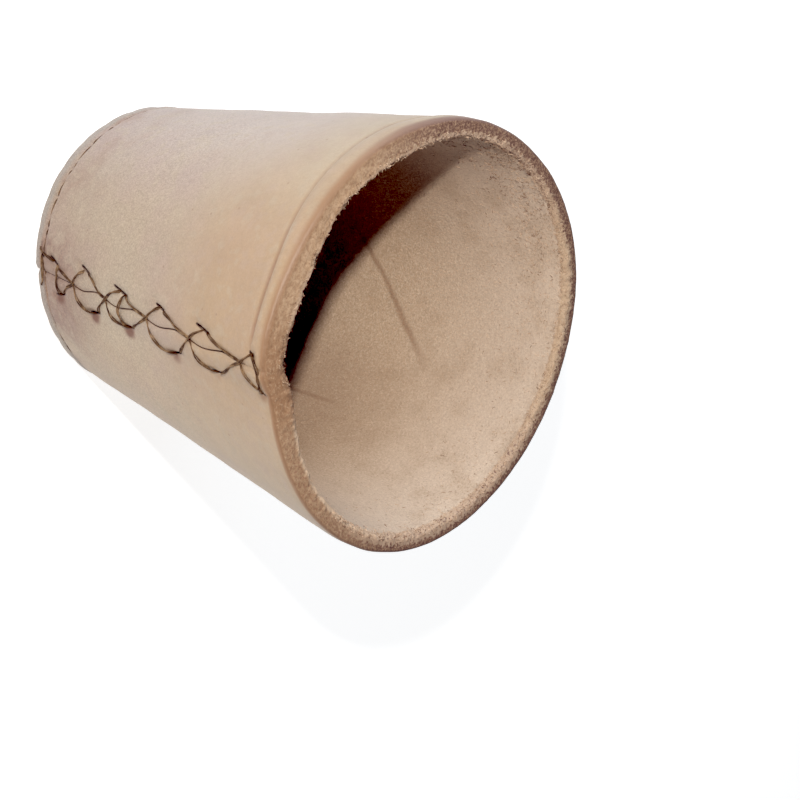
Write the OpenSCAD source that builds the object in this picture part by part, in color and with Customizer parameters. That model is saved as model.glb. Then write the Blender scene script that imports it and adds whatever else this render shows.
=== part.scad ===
// Leather dice cup, laced up one side and stitched round the foot.
// Millimetres. The cup stands on its foot: +Z runs from the foot to the mouth, the origin is the
// centre of the foot, and the laced joint faces -Y.

/* [Cup] */
// Height from the foot to the cut rim
cup_h = 68.5; // [60:0.5:95]
// Outside diameter at the mouth, away from the joint
mouth_d = 65.2; // [58:0.2:90]
// Outside diameter at the foot
foot_d = 47.4; // [42:0.2:57]
// Thickness of the wall's leather
wall_t = 3.3; // [2.4:0.1:4]

/* [Laced joint] */
// How far the butted edges stand proud of the round at the mouth
joint_peak = 1.6; // [0.4:0.1:2.4]
// Gap left between the two butted edges
joint_gap = 0.4; // [0.2:0.05:0.8]
// Number of hole pairs along the joint
hole_pairs = 6; // [4:1:8]
// Distance of the lacing holes from the middle of the joint
hole_set = 2.9; // [2.4:0.1:3.6]
// Height of the first pair of holes above the floor
first_pair_up = 1.7; // [1.5:0.1:4]
// Depth of the last pair of holes below the rim
last_pair_down = 2.4; // [2.2:0.1:4]
// How much each step between pairs is longer than the one before
pitch_growth = 0.6; // [0:0.1:0.7]
// How much nearer the mouth each hole on the +X side is than its partner
hole_stagger = 1.8; // [0:0.1:2]
// Diameter of the lacing holes
hole_d = 1.6; // [1.5:0.05:1.8]

/* [Base] */
// Thickness of the base's leather
base_t = 2.8; // [2:0.1:3.4]
// Height of the floor of the cup above the foot
floor_h = 7.8; // [7:0.1:10]
// Radius of the bend from the floor into the turned-down rim of the base
bend_r = 3.4; // [3:0.1:4]
// Clearance between the base and the wall
fit_gap = 0.1; // [0.05:0.05:0.2]

/* [Foot stitching] */
// Number of stitch holes round the foot, an odd number so that two laps fill every step
stitches = 29; // [25:2:31]
// Height of the stitches above the foot
stitch_h = 2.7; // [2.2:0.1:3.2]
// Diameter of the stitch holes
stitch_hole_d = 1.6; // [1.5:0.05:1.8]
// Turn of the first stitch hole from the joint, in degrees
stitch_turn = 4.2; // [3.6:0.1:5]
// Depth of the groove that the stitches have pulled into the wall
groove_d = 0.2; // [0:0.05:0.3]

/* [Thread] */
// Diameter of the waxed thread
thread_d = 0.6; // [0.5:0.05:0.65]
// Clearance between the thread and the leather that it lies on
thread_clear = 0.05; // [0.03:0.01:0.1]

/* [Rim] */
// Distance of the creased line below the cut rim
crease_down = 4.4; // [4:0.1:6]
// Depth of the creased line
crease_d = 0.3; // [0.1:0.05:0.4]
// Width of the creased line
crease_w = 1.2; // [0.8:0.1:1.4]
// Rounding of the cut edges
edge_r = 0.5; // [0.2:0.1:0.8]

/* [Hidden] */
$fn = 96;
// Steps round the wall, from one butted edge to the other
wall_steps = 84;
// Sides of the thread
thread_sides = 6;
thread_r = thread_d / 2;
mouth_r = mouth_d / 2;
foot_r = foot_d / 2;
// Distance of the thread's middle from the leather under it
lift = thread_r + thread_clear;
// Two strands share each hole, side by side
strand_set = thread_r + thread_clear / 2;

function unit(v) = v / norm(v);
function mix(a, b, t) = a + (b - a) * t;

// The outside of the wall. Beside the joint the leather stays flat, so that the two edges meet in a
// low ridge that grows from nothing at the foot to joint_peak at the mouth.
function round_r(z) = mix(foot_r, mouth_r, z / cup_h);
function ridge(z) = joint_peak * z / cup_h;
function flat_angle(z) = acos(round_r(z) / (round_r(z) + ridge(z)));
function spread(z, a) = let (f = flat_angle(z)) abs(a) < f ? 1 / cos(f - abs(a)) : 1;
// A point of the leather at height z, a degrees round from the joint towards +X, depth below the face
function on_wall(z, a, depth) = let (r = (round_r(z) - depth) * spread(z, a)) [r * sin(a), -r * cos(a), z];
// The angle that reaches a stated distance along the face from the joint
function turn(z, along) = along / (round_r(z) + ridge(z)) * 180 / PI;

// The strip's cross-section as [height, depth], up the grain side and down the flesh side
wall_profile = [
    [0, edge_r], [edge_r, 0],
    [stitch_h - 1, 0], [stitch_h, groove_d], [stitch_h + 1, 0],
    [cup_h * 0.25, 0], [cup_h * 0.5, 0], [cup_h * 0.75, 0],
    [cup_h - crease_down - crease_w / 2, 0], [cup_h - crease_down, crease_d],
    [cup_h - crease_down + crease_w / 2, 0],
    [cup_h - edge_r, 0], [cup_h, edge_r],
    [cup_h, wall_t - edge_r], [cup_h - edge_r, wall_t],
    [cup_h * 0.75, wall_t], [cup_h * 0.5, wall_t], [cup_h * 0.25, wall_t],
    [edge_r, wall_t], [0, wall_t - edge_r]
];

// The strip, rolled from one butted edge round to the other
module rolled_strip() {
    n = len(wall_profile);
    function edge_turn(z) = turn(z, joint_gap / 2);
    function round_angle(z, k) = mix(edge_turn(z), 360 - edge_turn(z), k / wall_steps);
    function signed(a) = a > 180 ? a - 360 : a;
    points = [
        for (k = [0 : wall_steps])
            for (p = wall_profile)
                on_wall(p[0], signed(round_angle(p[0], k)), p[1])
    ];
    sides = [
        for (k = [0 : wall_steps - 1])
            for (i = [0 : n - 1])
                let (a = k * n + i, b = k * n + (i + 1) % n)
                    each [[a, b, b + n], [a, b + n, a + n]]
    ];
    first_edge = [for (i = [n - 1 : -1 : 0]) i];
    last_edge = [for (i = [0 : n - 1]) wall_steps * n + i];
    polyhedron(points, concat(sides, [first_edge, last_edge]), convexity = 6);
}

// Heights of the lacing holes: even steps, each a little longer than the last
first_pair = floor_h + first_pair_up;
last_pair = cup_h - last_pair_down - hole_stagger / 2;
steps = hole_pairs - 1;
pitch = (last_pair - first_pair - pitch_growth * steps * (steps - 1) / 2) / steps;
function pair_z(i) = first_pair + pitch * i + pitch_growth * i * (i - 1) / 2;
// A hole is [pair, side], with side 1 towards +X and -1 towards -X
function hole_z(h) = pair_z(h[0]) + h[1] * hole_stagger / 2;
function hole_at(h, depth) =
    let (z = hole_z(h)) on_wall(z, h[1] * turn(z, hole_set), depth);
// The direction straight out of the leather at a hole
function hole_out(h) = unit(hole_at(h, 0) - hole_at(h, wall_t));

module lacing_holes() {
    for (i = [0 : hole_pairs - 1])
        for (side = [-1, 1])
            translate(hole_at([i, side], wall_t))
                rotate([0, 90, atan2(hole_out([i, side])[1], hole_out([i, side])[0])])
                    translate([0, 0, -1])
                        cylinder(d = hole_d, h = wall_t + 2, $fn = 24);
}

stitch_step = 360 / stitches;
// Angle of a foot stitch from the joint, towards -X
function stitch_angle(i) = -(stitch_turn + i * stitch_step);

module foot_holes() {
    for (i = [0 : stitches - 1])
        rotate([0, 0, stitch_angle(i) - 90])
            translate([foot_r - wall_t - base_t - 2, 0, stitch_h])
                rotate([0, 90, 0])
                    cylinder(d = stitch_hole_d, h = wall_t + base_t + 6, $fn = 24);
}

// The wall: a tapered strip of natural leather, rolled and butted, with its holes pierced through
module wall() {
    color("burlywood")
        difference() {
            rolled_strip();
            lacing_holes();
            foot_holes();
        }
}

// Radius of the base's outside, and of its inside, at a height
function base_out(z) = round_r(z) - wall_t - fit_gap;
function base_in(z) = base_out(z) - base_t;
inner_bend = max(bend_r - base_t, 0.3);
// Underside of the raised disc
ceiling = floor_h - base_t;

// The base: a disc wet-moulded over a block, so that its rim turns down inside the wall
module base() {
    color("tan")
        difference() {
            rotate_extrude()
                difference() {
                    polygon(concat(
                        [[0, floor_h]],
                        [[0, 0]],
                        [[base_out(0), 0]],
                        [
                            for (t = [0 : 15 : 90])
                                [
                                    base_out(floor_h - bend_r) - bend_r * (1 - cos(t)),
                                    floor_h - bend_r * (1 - sin(t))
                                ]
                        ]
                    ));
                    polygon([
                        [-1, -1],
                        [base_in(0), -1],
                        [base_in(0), 0],
                        [base_in(ceiling - inner_bend), ceiling - inner_bend],
                        [base_in(ceiling) - inner_bend, ceiling],
                        [-1, ceiling]
                    ]);
                }
            foot_holes();
        }
}

// A tube swept along a route: each ring lies square to the route, and turns with it
module thread_along(route) {
    m = thread_sides;
    n = len(route);
    tangents = [for (i = [0 : n - 1]) unit(route[min(i + 1, n - 1)] - route[max(i - 1, 0)])];
    begin = unit(cross(tangents[0], [0.3, 0.5, 0.8]));
    normals = [
        for (
            i = 0, u = begin;
            i < n;
            i = i + 1, u = i < n ? unit(u - (u * tangents[i]) * tangents[i]) : u
        ) u
    ];
    points = [
        for (i = [0 : n - 1])
            let (u = normals[i], w = cross(tangents[i], u))
                for (j = [0 : m - 1])
                    route[i] + thread_r * (cos(360 * j / m) * u + sin(360 * j / m) * w)
    ];
    sides = [
        for (i = [0 : n - 2])
            for (j = [0 : m - 1])
                let (a = i * m + j, b = i * m + (j + 1) % m)
                    each [[a, a + m, b + m], [a, b + m, b]]
    ];
    start_cap = [for (j = [0 : m - 1]) j];
    end_cap = [for (j = [m - 1 : -1 : 0]) (n - 1) * m + j];
    polyhedron(points, concat(sides, [start_cap, end_cap]), convexity = 10);
}

// Depths of the thread's middle over the grain side and under the flesh side
over = -lift;
under = wall_t + lift;
// A strand that crosses another is raised clear of it
crossing = thread_d + thread_clear;
// How far from a hole's middle the thread lies flat on the leather again
lip = hole_d / 2 + thread_clear;

// A point t of the way from hole a to hole b
function between(a, b, t, depth) =
    let (
        z = mix(hole_z(a), hole_z(b), t),
        along = mix(a[1], b[1], t) * hole_set
    ) on_wall(z, turn(z, along), depth);
// The point at a stated distance from hole a on the way to hole b
function near(a, b, away, depth) = between(a, b, away / norm(hole_at(b, 0) - hole_at(a, 0)), depth);
// A strand inside a hole. The one that comes out (way 1) lies nearer the mouth than the one that
// goes in (way -1).
function strand(way) = [0, 0, way * strand_set];
function in_hole(h, depth, way) = hole_at(h, depth) + strand(way);

// A slanting stitch over the grain side, out of hole a and into hole b
function over_stitch(a, b, raised) = [
    in_hole(a, thread_d, 1),
    near(a, b, lip, over) + strand(1),
    between(a, b, 0.35, over - raised / 2),
    between(a, b, 0.5, over - raised),
    between(a, b, 0.65, over - raised / 2),
    near(b, a, lip, over) + strand(-1),
    in_hole(b, thread_d, -1)
];
// A stitch straight across the flesh side, in from hole a and out to hole b
function under_stitch(a, b, raised) = [
    in_hole(a, wall_t - thread_d, -1),
    near(a, b, lip, under) + strand(-1),
    between(a, b, 0.5, under + raised),
    near(b, a, lip, under) + strand(1),
    in_hole(b, wall_t - thread_d, 1)
];
// A bar straight across the grain side from hole a to hole b, by the strands that lie the stated way
function bar(a, b, way) = [
    in_hole(a, thread_d, way),
    near(a, b, lip, over) + strand(way),
    near(b, a, lip, over) + strand(way),
    in_hole(b, thread_d, way)
];
// The trimmed end, left on the flesh side
function tail(a, b, way) = [
    in_hole(a, wall_t - thread_d, way),
    near(a, b, lip, under) + strand(way),
    between(a, b, 0.4, under) + strand(way)
];

// One half of the lacing: it crosses under the joint at each pair and over it to the next pair
function half_lacing(side, raised) = [
    for (i = [0 : steps - 1])
        each concat(
            under_stitch([i, -side], [i, side], raised),
            over_stitch([i, side], [i + 1, -side], raised)
        )
];
function backwards(list) = [for (i = [len(list) - 1 : -1 : 0]) list[i]];
top_left = [steps, -1];
top_right = [steps, 1];
// The thread has a needle at each end and its middle in the first bar. One end makes the last bar
// under the rim, and both finish inside.
lacing_route = concat(
    backwards(concat(
        half_lacing(1, 0),
        under_stitch(top_left, top_right, 0),
        bar(top_right, top_left, 1),
        tail(top_left, top_right, 1)
    )),
    bar([0, -1], [0, 1], -1),
    half_lacing(-1, crossing),
    tail(top_right, top_left, -1)
);

module seam_thread() {
    color("darkkhaki")
        thread_along(lacing_route);
}

// The foot thread goes round twice, over and under by turns, so that it fills each step on both sides
stitch_face = round_r(stitch_h) - groove_d;
rim_face = base_in(stitch_h);
function on_foot(i, r, strand) =
    let (a = stitch_angle(i)) [r * sin(a), -r * cos(a), stitch_h + strand * strand_set];
// The share of a step at which the thread lies flat again
foot_lip = (stitch_hole_d / 2 + thread_clear) / (stitch_face * sin(stitch_step));
foot_route = [
    for (k = [0 : 2 * stitches - 1])
        let (
            outside = k % 2 == 0,
            strand = k < stitches ? 1 : -1,
            face = outside ? stitch_face + lift : rim_face - lift,
            inner = outside ? stitch_face - thread_d : rim_face + thread_d
        )
            each [
                on_foot(k, inner, strand),
                on_foot(k + foot_lip, face, strand),
                on_foot(k + 1 - foot_lip, face, strand),
                on_foot(k + 1, inner, strand)
            ]
];

module foot_thread() {
    color("darkkhaki")
        thread_along(foot_route);
}

wall();
base();
seam_thread();
foot_thread();
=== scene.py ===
import math
import random

import bmesh
import bpy
from mathutils import Matrix, Quaternion, Vector, noise


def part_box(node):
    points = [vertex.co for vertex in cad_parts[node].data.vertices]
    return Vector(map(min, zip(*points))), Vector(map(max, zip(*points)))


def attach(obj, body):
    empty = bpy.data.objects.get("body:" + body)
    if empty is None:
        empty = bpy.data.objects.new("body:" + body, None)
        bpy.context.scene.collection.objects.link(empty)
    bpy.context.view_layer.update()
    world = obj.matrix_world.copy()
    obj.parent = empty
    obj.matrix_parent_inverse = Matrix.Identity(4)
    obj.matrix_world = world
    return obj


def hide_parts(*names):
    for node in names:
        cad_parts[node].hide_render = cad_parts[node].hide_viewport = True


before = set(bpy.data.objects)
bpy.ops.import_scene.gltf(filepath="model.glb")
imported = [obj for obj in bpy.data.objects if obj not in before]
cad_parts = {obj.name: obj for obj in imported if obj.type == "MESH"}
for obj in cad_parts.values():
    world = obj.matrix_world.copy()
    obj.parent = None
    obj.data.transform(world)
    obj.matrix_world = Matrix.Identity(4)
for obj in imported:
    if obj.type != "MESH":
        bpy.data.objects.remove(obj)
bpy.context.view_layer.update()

# Camera. The photograph looks down at the laced side of a cup that lies on the ground. The cup stands
# upright here, so the camera takes the same view of it and is rolled by as much as the cup lies over.
MM = 0.001
LENS = 94.3
CAMERA_AT = Vector((-79.2, -218.1, 277.4)) * MM
LOOK_TURN, LOOK_DOWN, ROLL = math.radians(22.49), math.radians(42.36), math.radians(109.0)
sight = Vector((
    math.sin(LOOK_TURN) * math.cos(LOOK_DOWN),
    math.cos(LOOK_TURN) * math.cos(LOOK_DOWN),
    -math.sin(LOOK_DOWN),
))
camera = bpy.data.objects.new("camera", bpy.data.cameras.new("camera"))
camera.data.lens = LENS
camera.data.clip_start, camera.data.clip_end = 10 * MM, 20
camera.location = CAMERA_AT
camera.rotation_mode = "QUATERNION"
camera.rotation_quaternion = sight.to_track_quat("-Z", "Y") @ Quaternion((0, 0, 1), ROLL)
bpy.context.collection.objects.link(camera)
bpy.context.scene.camera = camera

# Wall. One strip of undyed leather about 3.3 mm thick, cut as a sector and rolled into a tapered tube
# with its grain side out. Its two ends are butted at -Y and laced there. All its edges are cut raw.
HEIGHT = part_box("wall")[1].z
MOUTH_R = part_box("wall")[1].x
FOOT_R = 23.7 * MM
WALL_T = 3.3 * MM
# The mouth isn't round: the butted ends stand up in a ridge, steeper on the +X side, and the wall
# swells all round, and in one, two and three lobes, as (how many, size, degrees from the joint to the
# first). The foot bulges to one side.
RIDGE, RIDGE_LEFT, RIDGE_RIGHT = 1.8 * MM, math.radians(17), math.radians(6)
SWELLS = [(0, 0.31 * MM, 0), (1, 0.31 * MM, -67), (2, 0.54 * MM, 77), (3, 0.39 * MM, -39)]
FOOT_SWELL, FOOT_SWELL_AT = 0.9 * MM, math.radians(-80)
# The strip is thinner at the back of the mouth and thicker on both sides of the joint. A thick place is
# (size, degrees from the joint, degrees of spread).
THIN_BACK = 0.5 * MM
THICK_PLACES = [(1.7 * MM, -26, 26), (1.6 * MM, 8, 24), (1.3 * MM, -71, 18), (0.4 * MM, 45, 20)]


def smooth(low, high, x):
    """0 below low, 1 above high, and a soft step between them."""
    t = min(max((x - low) / (high - low), 0), 1)
    return t * t * (3 - 2 * t)


def bell(x, width):
    """1 at 0, falling away softly on both sides."""
    return math.exp(-((x / width) ** 2))


def mix(a, b, t):
    """From a to b as t goes from 0 to 1."""
    return a + (b - a) * t


def foot_swell(z, turn):
    """How far the foot bulges out at a turn, less and less towards the mouth."""
    return FOOT_SWELL * math.cos(turn - FOOT_SWELL_AT) * (1 - z / HEIGHT)


def face_radius(z, turn):
    """Radius of the grain side at a height and a turn from the joint, positive towards +X."""
    share = z / HEIGHT
    ridge = RIDGE * bell(turn, RIDGE_LEFT if turn < 0 else RIDGE_RIGHT)
    swell = sum(size * math.cos(lobes * (turn - math.radians(at))) for lobes, size, at in SWELLS)
    r = mix(FOOT_R, MOUTH_R, share) + share * ridge + max(share, 0) ** 1.5 * swell
    return r + foot_swell(z, turn)


def thickness(z, turn):
    """How thick the strip is there. It is even at the foot, and more and more uneven towards the mouth."""
    more = sum(size * bell(math.degrees(turn) - at, spread) for size, at, spread in THICK_PLACES)
    return WALL_T + (z / HEIGHT) ** 2 * (more - THIN_BACK)


def turn_at(z, along):
    """The turn that reaches a distance along the grain side from the joint."""
    return along / mix(FOOT_R, MOUTH_R + RIDGE, z / HEIGHT)


class Slit:
    """One awl hole: a lens-shaped cut between two places on the grain side, (height, along) in mm."""

    def __init__(self, start, end):
        self.start, self.end = Vector(start) * MM, Vector(end) * MM
        self.run = (self.end - self.start).normalized()
        self.length = (self.end - self.start).length
        self.z, self.along = (self.start + self.end) / 2

    def away(self, z, along):
        """Distance of a place from the cut's own line."""
        walk = min(max((Vector((z, along)) - self.start).dot(self.run), 0), self.length)
        return (Vector((z, along)) - self.start - self.run * walk).length


# The awl holes of the lacing, from the foot up, left (-X) and right (+X) of the joint
LEFT_SLITS = [
    Slit((5.6, -2.9), (8.0, -2.1)),
    Slit((15.8, -3.7), (18.1, -2.9)),
    Slit((26.6, -2.9), (30.4, -2.1)),
    Slit((39.1, -3.0), (41.5, -2.4)),
    Slit((50.8, -2.8), (54.2, -2.1)),
    Slit((65.1, -2.2), (66.1, -1.8)),
]
RIGHT_SLITS = [
    Slit((7.4, 3.0), (10.2, 2.4)),
    Slit((18.2, 3.5), (21.2, 3.0)),
    Slit((29.0, 3.1), (31.6, 2.8)),
    Slit((42.2, 4.1), (45.4, 3.3)),
    Slit((53.9, 3.8), (56.5, 3.5)),
    Slit((66.5, 3.4), (67.4, 4.0)),
]
SLIT_W = 0.4 * MM
# Heights at which the strands cross over the joint. The joint is open below the last one, closed above.
CROSSINGS = [z * MM for z in (13.3, 23.9, 36.4, 49.0, 62.8)]
JOINT_GAP, JOINT_WANDER, JOINT_CLOSES = 0.13 * MM, 0.4 * MM, (62 * MM, 65 * MM)
FOOT_STEP = 1.2 * MM
# The foot's stitches: how many, their height, the first one's turn, and their slits' length and lean
STITCHES, STITCH_H, STITCH_TURN = 29, 2.7 * MM, math.radians(4.2)
STITCH_SLIT, STITCH_LEAN = 1.5 * MM, 1.2
# The creased line: how far below the rim, and how far and between which turns it rises to the joint
CREASE_BELOW, CREASE_RISE, CREASE_TURNS = 4.4 * MM, 1.2 * MM, (-0.9, -0.3)
# How far the grain side is drawn in at the joint and at its awl holes, along the foot stitches, in the
# crease and at the rim, and how far it stands up above the crease and below the stitches
JOINT_DIP, STITCH_DIP, CREASE_DIP, RIM_DIP = 0.35 * MM, 0.25 * MM, 0.3 * MM, 0.22 * MM
CREASE_BEAD, FOOT_BEAD = 0.14 * MM, 0.15 * MM


def hand_shift(seed, size):
    """A small slip of the hand, the same each time for one seed."""
    return size * 0.5 * math.sin(seed * 12.9898)


def foot_rise(z, turn):
    """How much higher the foot stands beside the joint, most on the +X side, where it was cut short."""
    rise = bell(turn, 0.9) if turn > 0 else 0.4 * bell(turn, 0.3)
    return FOOT_STEP * rise * (1 - smooth(0, 8 * MM, z))


def stitch_place(i):
    """Height and turn of a foot stitch hole, counted from the joint towards -X."""
    turn = -(STITCH_TURN + i * math.tau / STITCHES)
    z = STITCH_H + hand_shift(i, 0.35 * MM)
    return z + foot_rise(0, turn + math.tau) + foot_rise(STITCH_H, turn), turn


def joint_line(z):
    """How far the joint wanders to the right of -Y at a height: to and fro between two crossings."""
    for low, high in zip(CROSSINGS, CROSSINGS[1:]):
        if low <= z <= high:
            return JOINT_WANDER * math.sin(math.tau * (z - low) / (high - low))
    return 0


def crease_share(turn):
    """How deep the creased line is: none at the joint and on the front of the +X side, worn on the -X."""
    left = smooth(math.radians(3), math.radians(9), -turn) * (1 - 0.4 * bell(turn + 1.3, 0.5))
    return max(left, smooth(math.radians(70), math.radians(110), turn))


def crease_height(turn):
    """The creased line runs nearer to the rim beside the joint."""
    return HEIGHT - CREASE_BELOW + CREASE_RISE * smooth(*CREASE_TURNS, -abs(turn))


def sunk(z, turn):
    """How far the grain side lies below its plain radius: creases, pulls of the thread and waves."""
    r = mix(FOOT_R, MOUTH_R, z / HEIGHT)
    along = turn * r
    place = Vector((math.sin(turn), -math.cos(turn), 0)) * r + Vector((0, 0, z))
    depth = 0.16 * MM * noise.noise(place / (14 * MM)) + 0.07 * MM * noise.noise(place / (4.5 * MM))
    if abs(along) < 7 * MM:
        depth += JOINT_DIP * bell(along - joint_line(z), 0.5 * MM)
        for slit in LEFT_SLITS + RIGHT_SLITS:
            if abs(z - slit.z) < 6 * MM:
                depth += JOINT_DIP * bell(slit.away(z, along), 0.7 * MM)
    if z < 6 * MM:
        stitch = (-turn - STITCH_TURN) / math.tau * STITCHES
        at_hole = bell((stitch - round(stitch)) * math.tau * r / STITCHES, 0.9 * MM)
        depth += STITCH_DIP * (1 + at_hole) * bell(z - STITCH_H, 0.5 * MM)
        depth -= FOOT_BEAD * (1 - at_hole) * bell(z - 1.0 * MM, 0.9 * MM)
    worn_side = smooth(0, math.radians(40), -turn) * smooth(math.radians(-105), math.radians(-70), turn)
    crease = crease_share(turn)
    above = z - crease_height(turn)
    depth += CREASE_DIP * crease * bell(above, 0.38 * MM)
    depth -= CREASE_BEAD * crease * bell(above - 1.7 * MM, 0.9 * MM)
    return depth + RIM_DIP * smooth(HEIGHT - 2.6 * MM, HEIGHT, z) ** 2 * (1 + 2.2 * worn_side)


def wall_point(z, turn, depth):
    """A point of the wall, depth below the grain side out of WALL_T."""
    share = depth / WALL_T
    outer = face_radius(z, turn) - sunk(z, turn) * (1 - 0.8 * share)
    r = outer - share * thickness(z, turn)
    return Vector((r * math.sin(turn), -r * math.cos(turn), z))


def spaced(low, high, step):
    """Even steps from low up to but not at high."""
    count = max(1, round((high - low) / step))
    return [mix(low, high, i / count) for i in range(count)]


# The strip is first spun as a plain ring, in this many steps, and then shaped. The knife's edges are
# rounded a little, and the flesh side's lip more.
BLANK_R, AROUND = 30 * MM, 320
EDGE_R, LIP_R = 0.55 * MM, 1.1 * MM


def round_corner(radius, steps=5):
    """Points of a quarter circle from (0, radius) to (radius, 0), without its end."""
    quarter = [i / steps * math.pi / 2 for i in range(steps)]
    return [(radius * (1 - math.cos(t)), radius * (1 - math.sin(t))) for t in quarter]


def strip_section():
    """The strip's cross-section as (depth, height), up the grain side and down the flesh side."""
    fine, plain, coarse = 0.34 * MM, 1.1 * MM, 2.0 * MM
    rows = spaced(EDGE_R, 5 * MM, fine) + spaced(5 * MM, HEIGHT - 6 * MM, plain)
    rows += spaced(HEIGHT - 6 * MM, HEIGHT - EDGE_R, fine)
    back_rows = spaced(HEIGHT - LIP_R, HEIGHT - 2 * MM, -0.2 * MM)
    back_rows += spaced(HEIGHT - 2 * MM, HEIGHT - 6 * MM, -0.6 * MM)
    back_rows += spaced(HEIGHT - 6 * MM, EDGE_R, -coarse)
    outer_rim = [(d, HEIGHT - up) for d, up in round_corner(EDGE_R)]
    inner_rim = [(WALL_T - d, HEIGHT - up) for d, up in round_corner(LIP_R, 9)][::-1]
    inner_foot = [(WALL_T - d, up) for d, up in round_corner(EDGE_R, 3)]
    outer_foot = [(d, up) for d, up in round_corner(EDGE_R, 3)][::-1]
    section = [(0, z) for z in rows] + outer_rim
    section += [(d, HEIGHT) for d in spaced(EDGE_R, WALL_T - LIP_R, 0.22 * MM)] + [(WALL_T - LIP_R, HEIGHT)]
    section += inner_rim + [(WALL_T, z) for z in back_rows[1:]] + inner_foot
    section += [(d, 0) for d in spaced(WALL_T - EDGE_R, EDGE_R, -0.5 * MM)] + [(EDGE_R, 0)]
    return section + outer_foot[:-1]


def finished(name, bm):
    """A smooth-shaded object from a bmesh, at the origin."""
    mesh = bpy.data.meshes.new(name)
    bm.to_mesh(mesh)
    bm.free()
    mesh.polygons.foreach_set("use_smooth", [True] * len(mesh.polygons))
    mesh.set_sharp_from_angle(angle=math.radians(50))
    made = bpy.data.objects.new(name, mesh)
    bpy.context.collection.objects.link(made)
    return made


section = strip_section()
bm = bmesh.new()
ring = [bm.verts.new((BLANK_R - depth, 0, z)) for depth, z in section]
edges = [bm.edges.new(pair) for pair in zip(ring, ring[1:] + ring[:1])]
open_turn = JOINT_GAP / BLANK_R
bmesh.ops.rotate(bm, verts=ring, cent=(0, 0, 0), matrix=Matrix.Rotation(open_turn / 2, 3, "Z"))
spun = bmesh.ops.spin(
    bm, geom=ring + edges, cent=(0, 0, 0), axis=(0, 0, 1), dvec=(0, 0, 0),
    angle=math.tau - open_turn, steps=AROUND, use_merge=False,
)
last_edges = [g for g in spun["geom_last"] if isinstance(g, bmesh.types.BMEdge)]
for end in (edges, last_edges):
    bmesh.ops.triangle_fill(bm, edges=end, use_beauty=True)


def blank_turn(vert):
    """The turn from the joint of a point of the plain ring."""
    return math.atan2(vert.co.y, vert.co.x)


def outside_near_joint(vert):
    outside = BLANK_R - math.hypot(vert.co.x, vert.co.y) < WALL_T / 2
    return outside and abs(blank_turn(vert)) * BLANK_R < 6 * MM


fine_edges = [e for e in bm.edges if all(outside_near_joint(v) for v in e.verts)]
bmesh.ops.subdivide_edges(bm, edges=fine_edges, cuts=1, use_grid_fill=True)


def at_lip(vert):
    return vert.co.z > HEIGHT - 2.1 * MM and BLANK_R - math.hypot(vert.co.x, vert.co.y) > 0.5 * MM


def goes_round(edge):
    a, b = (v.co for v in edge.verts)
    return abs(a.z - b.z) < 0.01 * MM and abs(a.xy.length - b.xy.length) < 0.01 * MM


def squarer_lip(z, turn, depth):
    """Moves a point of the round inner lip towards a square corner, on the side left of the joint."""
    inward, up = 1 + (depth - WALL_T) / LIP_R, 1 + (z - HEIGHT) / LIP_R
    if min(inward, up) <= 0:
        return z, depth
    share = 0.75 * smooth(0, 0.3, -turn) * (1 - smooth(2.0, 2.6, -turn))
    grow = mix(1, 1 / max(inward, up), share)
    return HEIGHT + (up * grow - 1) * LIP_R, WALL_T + (inward * grow - 1) * LIP_R


lip_edges = [e for e in bm.edges if goes_round(e) and all(at_lip(v) for v in e.verts)]
bmesh.ops.subdivide_edges(bm, edges=lip_edges, cuts=3)
for v in bm.verts:
    turn = blank_turn(v)
    z, depth = squarer_lip(v.co.z, turn, BLANK_R - math.hypot(v.co.x, v.co.y))
    r = mix(FOOT_R, MOUTH_R, z / HEIGHT)
    # The joint's two edges wander together, and under the rim they close all but 2% of the gap
    near = bell(turn * r, 3 * MM)
    closing = smooth(*JOINT_CLOSES, z) * near * 0.98
    turn += joint_line(z) / r * near - math.copysign(open_turn / 2, turn) * closing
    v.co = wall_point(z, turn, depth)
    v.co.z += foot_rise(z, turn)
    # The flesh side frays at its lip, and the knife left the rim a little uneven
    lip = smooth(HEIGHT - 2.4 * MM, HEIGHT - 0.8 * MM, z) * smooth(1.5 * MM, 2.6 * MM, depth)
    place = v.co.copy()
    fray = 0.22 * noise.noise(place / (1.8 * MM)) + 0.14 * noise.noise(place / (0.6 * MM))
    fray += 0.08 * noise.noise(place / (0.34 * MM))
    v.co += Vector((math.sin(turn), -math.cos(turn), -0.6)) * fray * lip * MM
    uneven = 0.1 * noise.noise(place / (5 * MM)) + 0.07 * noise.noise(place / (0.9 * MM)) - 0.1
    v.co.z += uneven * MM * smooth(HEIGHT - 1 * MM, HEIGHT, z)
bmesh.ops.recalc_face_normals(bm, faces=bm.faces)
wall = finished("wall_leather", bm)


def awl(bm, z, turn, length, lean, deep):
    """Adds a lens-shaped punch, turned by lean, that goes through the leather at a place on the wall."""
    made = bmesh.ops.create_cone(bm, cap_ends=True, segments=16, radius1=1, radius2=1, depth=deep)
    out = Vector((math.sin(turn), -math.cos(turn), 0))
    up = Vector((0, 0, 1))
    side = up.cross(out).normalized()
    punch = Matrix((side, up, out)).transposed()
    punch = punch @ Matrix.Rotation(-lean, 3, "Z") @ Matrix.Diagonal((SLIT_W / 2, length / 2, 1))
    middle = wall_point(z, turn, WALL_T / 2)
    for v in made["verts"]:
        # With its widths squared, the round punch comes to a point at both ends
        v.co.x *= abs(v.co.x)
        v.co = middle + punch @ v.co


def punched(piece, punch):
    """The piece with the awl holes cut through it, as a finished mesh."""
    cut = piece.modifiers.new("awl", "BOOLEAN")
    cut.solver = "MANIFOLD"
    cut.object = punch
    graph = bpy.context.evaluated_depsgraph_get()
    mesh = bpy.data.meshes.new_from_object(piece.evaluated_get(graph))
    mesh.materials.clear()
    piece.modifiers.clear()
    piece.data = mesh
    return piece


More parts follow.
